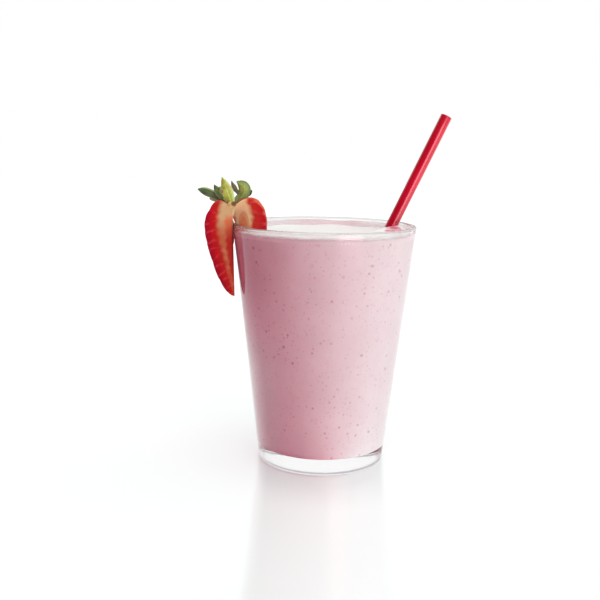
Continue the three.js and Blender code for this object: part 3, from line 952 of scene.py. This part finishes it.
def stub_form(first):
    """Points and faces of the half stub where the leaves meet."""
    points, faces = [], []
    step = HUB_TURNS + 1
    for j in range(HUB_BANDS + 1):
        for k in range(step):
            tilt, turn = math.pi * j / HUB_BANDS, math.pi * k / HUB_TURNS
            points.append(np.array([
                HUB[0] + HUB_SIZE[0] * math.sin(tilt) * math.cos(turn),
                CUT_FACE_Y - 0.15 + HUB_SIZE[1] * math.sin(tilt) * math.sin(turn),
                HUB[1] + HUB_SIZE[2] * math.cos(tilt),
            ]))
    for j in range(HUB_BANDS):
        row, below = first + j * step, first + (j + 1) * step
        for k in range(HUB_TURNS):
            faces.append((row + k, below + k, below + k + 1, row + k + 1))
        faces.append((row, row + HUB_TURNS, below + HUB_TURNS, below))
    return points, faces


def build_calyx(looks, stub):
    points, marks, faces, face_looks = [], [], [], []
    for number, leaf in enumerate(LEAVES):
        leaf_points, leaf_marks = leaf_sheet(leaf, number * 1.7)
        new_faces = leaf_faces(len(points))
        points += leaf_points
        marks += leaf_marks
        faces += new_faces
        face_looks += [leaf[6]] * len(new_faces)
    stub_points, stub_faces = stub_form(len(points))
    points += stub_points
    marks += [(0.5, 0.1)] * len(stub_points)
    faces += stub_faces
    face_looks += [len(looks)] * len(stub_faces)
    calyx = make_piece("calyx_leaves", points, faces, looks + [stub], face_looks)
    # How far across and along its leaf each point lies, for the ribs and the veins
    runs = calyx.data.uv_layers.new(name="leaf_run")
    corners = np.zeros(len(calyx.data.loops), np.int32)
    calyx.data.loops.foreach_get("vertex_index", corners)
    runs.data.foreach_set("uv", np.array(marks, float)[corners].ravel())
    return calyx


# Everything in place
glass = build_glass(glass_look())
milkshake = build_milkshake(milkshake_look())
film = build_film(film_look())
straw = build_straw(straw_look())
berry = build_strawberry(berry_skin_look(), berry_cut_look())
seeds = build_seeds(seed_look())
calyx = build_calyx([leaf_look(*finish) for finish in LEAF_FINISHES], stub_look())
for piece, node, finish in (
    (glass, "glass", "glass"),
    (milkshake, "milkshake", "milkshake"),
    (film, None, "milkshake"),
    (straw, "straw", "straw"),
    (berry, "strawberry", "strawberry"),
    (seeds, None, "strawberry"),
    (calyx, "calyx", "calyx"),
):
    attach(piece, "root")
    if node:
        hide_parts(node)


# Soft light: rosy all round, pink from the front, and white from the front right
ROSY = (0.78, 0.145, 0.29)
PINK_FRONT = (2.34, 0.72, 0.92)
WHITE_SIDE = (2.30, 2.74, 2.66)
CEILING = (0.94, 1.16, 1.09)
BRIGHT_RIGHT, BRIGHT_FRONT = 0.87, 0.5

# What glossy surfaces mirror: a dim red part at the left, and a window at the front right
DARK_LEFT = (0.10, 0.0, 0.0)
WINDOW = (5.6, 3.1, 3.6)
WINDOW_RIGHT, WINDOW_FRONT = 0.5, 0.866
BLACK, WHITE = (0.0, 0.0, 0.0), (1.0, 1.0, 1.0)

# Floor in millimetres, and in metres how far it is dropped and its shaded part before the foot
FLOOR_REACH = 3000
FLOOR_DROP = 0.00005
SHADE_SIDE = (0.0335, 0.0305)
SHADE_BACK, SHADE_FRONT = (0.010, -0.005), (0.075, 0.034)

# Camera, at the height and tilt from which the photograph was taken
CAMERA_PLACE = (-11.48, -434.97, 158.0)
CAMERA_PITCH, CAMERA_ROLL = 0.1767, 0.0161
CAMERA_SENSOR = 36
CAMERA_LENS = 887.8 * CAMERA_SENSOR / 600


def level_way(to_right, away):
    """The level part of a direction, at unit length."""
    reach = (to_right * to_right + away * away + TINY).root()
    return to_right / reach, away / reach


def toward_bright(to_right, away):
    """How far a level direction looks towards the bright side, from -1 to 1."""
    return to_right * BRIGHT_RIGHT - away * BRIGHT_FRONT


def dark_left(to_right, away):
    """The part of the room to the left, from which only dim red light is mirrored."""
    return to_right.step(-0.3, -0.65) * away.step(0.72, 0.48)


def window(to_right, away):
    """The bright window at the front right, which shows as a stripe on what is glossy."""
    return (to_right * WINDOW_RIGHT - away * WINDOW_FRONT).step(0.945, 0.985)


def soft_tone(look, toward):
    tone = look.blend(toward.step(0.30, 0.57), ROSY, PINK_FRONT)
    return look.blend(toward.step(0.57, 0.82), tone, WHITE_SIDE)


# Floor: white, and the soft light that it throws back is like that of the room beyond
def floor_look():
    look = Look("white_floor")
    x, y, _ = look.place().parts()
    level = level_way(x, y)
    far = (x * x + y * y).root()
    glossy = look.ray("Is Glossy Ray")
    mirrored = look.blend(glossy * dark_left(*level) * far.step(0.26, 0.42), WHITE, DARK_LEFT)
    mirrored = look.blend(glossy * window(*level) * far.step(0.5, 0.7), mirrored, WINDOW)
    grain = look.noise(look.place(), 6.0)
    white = look.blend(grain, (0.60, 0.655, 0.65), (0.63, 0.685, 0.68))
    shade = (x.size() - y * 0.08).step(*SHADE_SIDE) * y.step(*SHADE_BACK) * far.step(*SHADE_FRONT)
    seen = look.node("ShaderNodeBsdfPrincipled", {}, {
        "Base Color": look.blend(shade * 0.55, white, (0.38, 0.43, 0.43)),
        "Roughness": 0.1,
        "IOR": 2.2,
        "Emission Color": mirrored,
        "Emission Strength": 0.3,
    })
    tone = soft_tone(look, toward_bright(*level))
    thrown = look.node("ShaderNodeEmission", {}, {"Color": tone})
    look.owner.cycles.emission_sampling = "NONE"
    return look.ended(look.choose(look.ray("Diffuse Depth").lowest(1.0), seen, thrown))


def build_floor(look):
    corners = [(-1, -1), (1, -1), (1, 1), (-1, 1)]
    points = [(x * FLOOR_REACH, y * FLOOR_REACH, 0) for x, y in corners]
    made = make_piece("white_floor", points, [(0, 1, 2, 3)], [look])
    made.location.z = -FLOOR_DROP
    return made


# Light: a white room, bright behind and to the front right
def light_room():
    world = bpy.context.scene.world or bpy.data.worlds.new("white_room")
    bpy.context.scene.world = world
    air = Look("white_room", world)
    way = Signal(air, air.node("ShaderNodeTexCoord").outputs["Generated"])
    to_right, away, up = way.parts()
    level = level_way(to_right, away)
    toward = toward_bright(*level)
    ceiling = up.step(0.46, 0.70)
    soft = air.blend(ceiling, soft_tone(air, toward), CEILING)
    backdrop = away.step(0.25, 0.6)
    left_dark = dark_left(*level) * up.step(0.05, -0.02)
    glow = toward.step(0.4, 0.95) * up.step(0.9, 0.5)
    lit = backdrop * (1 - 0.9 * left_dark) * (1 - 0.3 * ceiling)
    # The clear glass shows a lighter room in front
    lit = lit.highest(air.ray("Is Transmission Ray") * 0.75)
    shine = air.blend(0.03 + 0.97 * lit + 0.6 * glow, BLACK, WHITE)
    shine = air.blend(window(*level) * up.step(0.5, 0.3), shine, WINDOW)
    shine_light, soft_light, backdrop_light = (
        air.node("ShaderNodeBackground", {}, {"Color": tone, "Strength": 1.0})
        for tone in (shine, soft, WHITE)
    )
    by_kind = air.choose(air.ray("Diffuse Depth").lowest(1.0), shine_light, soft_light)
    shown = air.choose(air.ray("Is Camera Ray"), by_kind, backdrop_light)
    air.ended(shown, "ShaderNodeOutputWorld")


def place_camera():
    camera_data = bpy.data.cameras.new("camera")
    camera_data.sensor_width = CAMERA_SENSOR
    camera_data.lens = CAMERA_LENS
    camera_data.clip_start, camera_data.clip_end = 0.01, 20
    camera = bpy.data.objects.new("camera", camera_data)
    bpy.context.scene.collection.objects.link(camera)
    bpy.context.scene.camera = camera
    pitch_cos, pitch_sin = math.cos(CAMERA_PITCH), math.sin(CAMERA_PITCH)
    roll_cos, roll_sin = math.cos(CAMERA_ROLL), math.sin(CAMERA_ROLL)
    ahead = Vector((0, pitch_cos, -pitch_sin))
    flat_right, flat_up = Vector((1, 0, 0)), Vector((0, pitch_sin, pitch_cos))
    right = flat_right * roll_cos + flat_up * roll_sin
    upward = flat_up * roll_cos - flat_right * roll_sin
    turn = Matrix((right, upward, -ahead)).transposed().to_4x4()
    camera.matrix_world = Matrix.Translation([c * MM for c in CAMERA_PLACE]) @ turn


floor = build_floor(floor_look())
light_room()
place_camera()
bpy.context.scene.view_settings.view_transform = "Standard"
bpy.context.scene.view_settings.look = "None"
